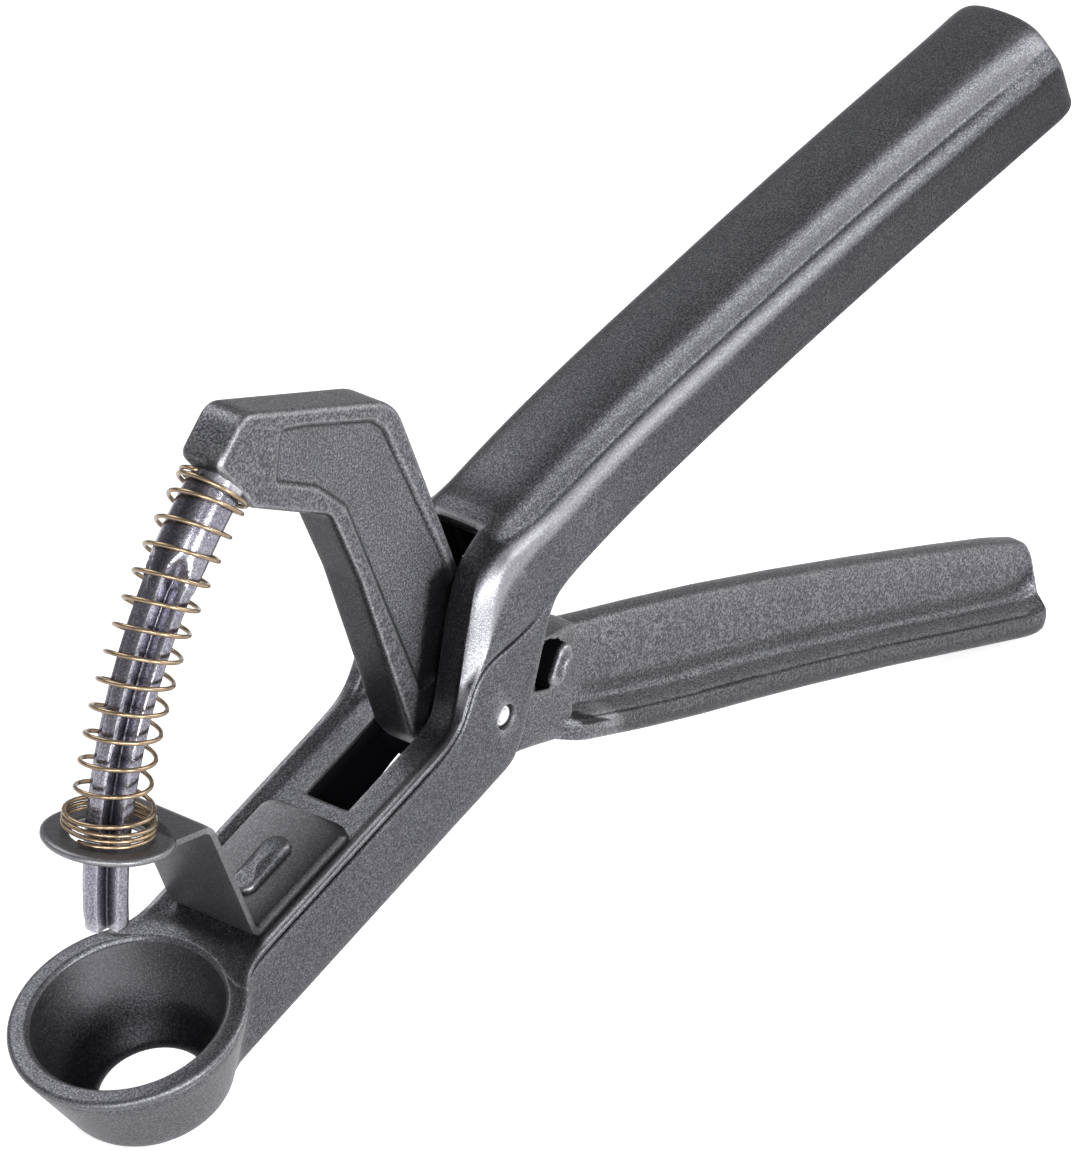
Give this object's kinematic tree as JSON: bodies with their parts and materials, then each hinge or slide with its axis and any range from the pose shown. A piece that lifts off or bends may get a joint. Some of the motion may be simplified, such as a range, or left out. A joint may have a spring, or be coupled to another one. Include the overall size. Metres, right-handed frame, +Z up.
{
  "type": "olive pitter",
  "caption": "Pliers-type olive pitter: a cup lever with a hollow handle, a punch lever with a curved ribbed punch, a stripper plate, a return spring and a pivot pin.",
  "frame": {"origin": "centre of the bounding box's bottom face, as the tool stands on its cup and the tip of its lower handle", "axes": "+X from the cup towards the handles' ends, +Y along the pivot pin, +Z up"},
  "size_m": [0.1998, 0.0306, 0.0957],
  "materials": {
    "lever_coating": "die-cast, speckled anthracite coating, satin",
    "plate_coating": "bent sheet, the same speckled anthracite coating",
    "punch_metal": "die-cast, smooth grey, semi-gloss",
    "spring_wire": "drawn wire, brass-coloured, bright",
    "pin_steel": "plain bright steel"
  },
  "bodies": {
    "cup_side": {"cup_lever": "lever_coating", "stripper_plate": "plate_coating", "pivot_pin": "pin_steel", "return_spring": "spring_wire"},
    "punch_side": {"punch_lever": "lever_coating", "punch": "punch_metal"}
  },
  "joints": [
    {"name": "pivot", "type": "hinge", "parent": "cup_side", "child": "punch_side", "pos_m": [-0.02467, 0, 0.03677], "axis": [0, -1, 0], "range_deg": [0, 30], "stiffness_Nm_per_rad": 0.4, "springref_deg": -11.46, "deforming": ["return_spring"]}
  ]
}
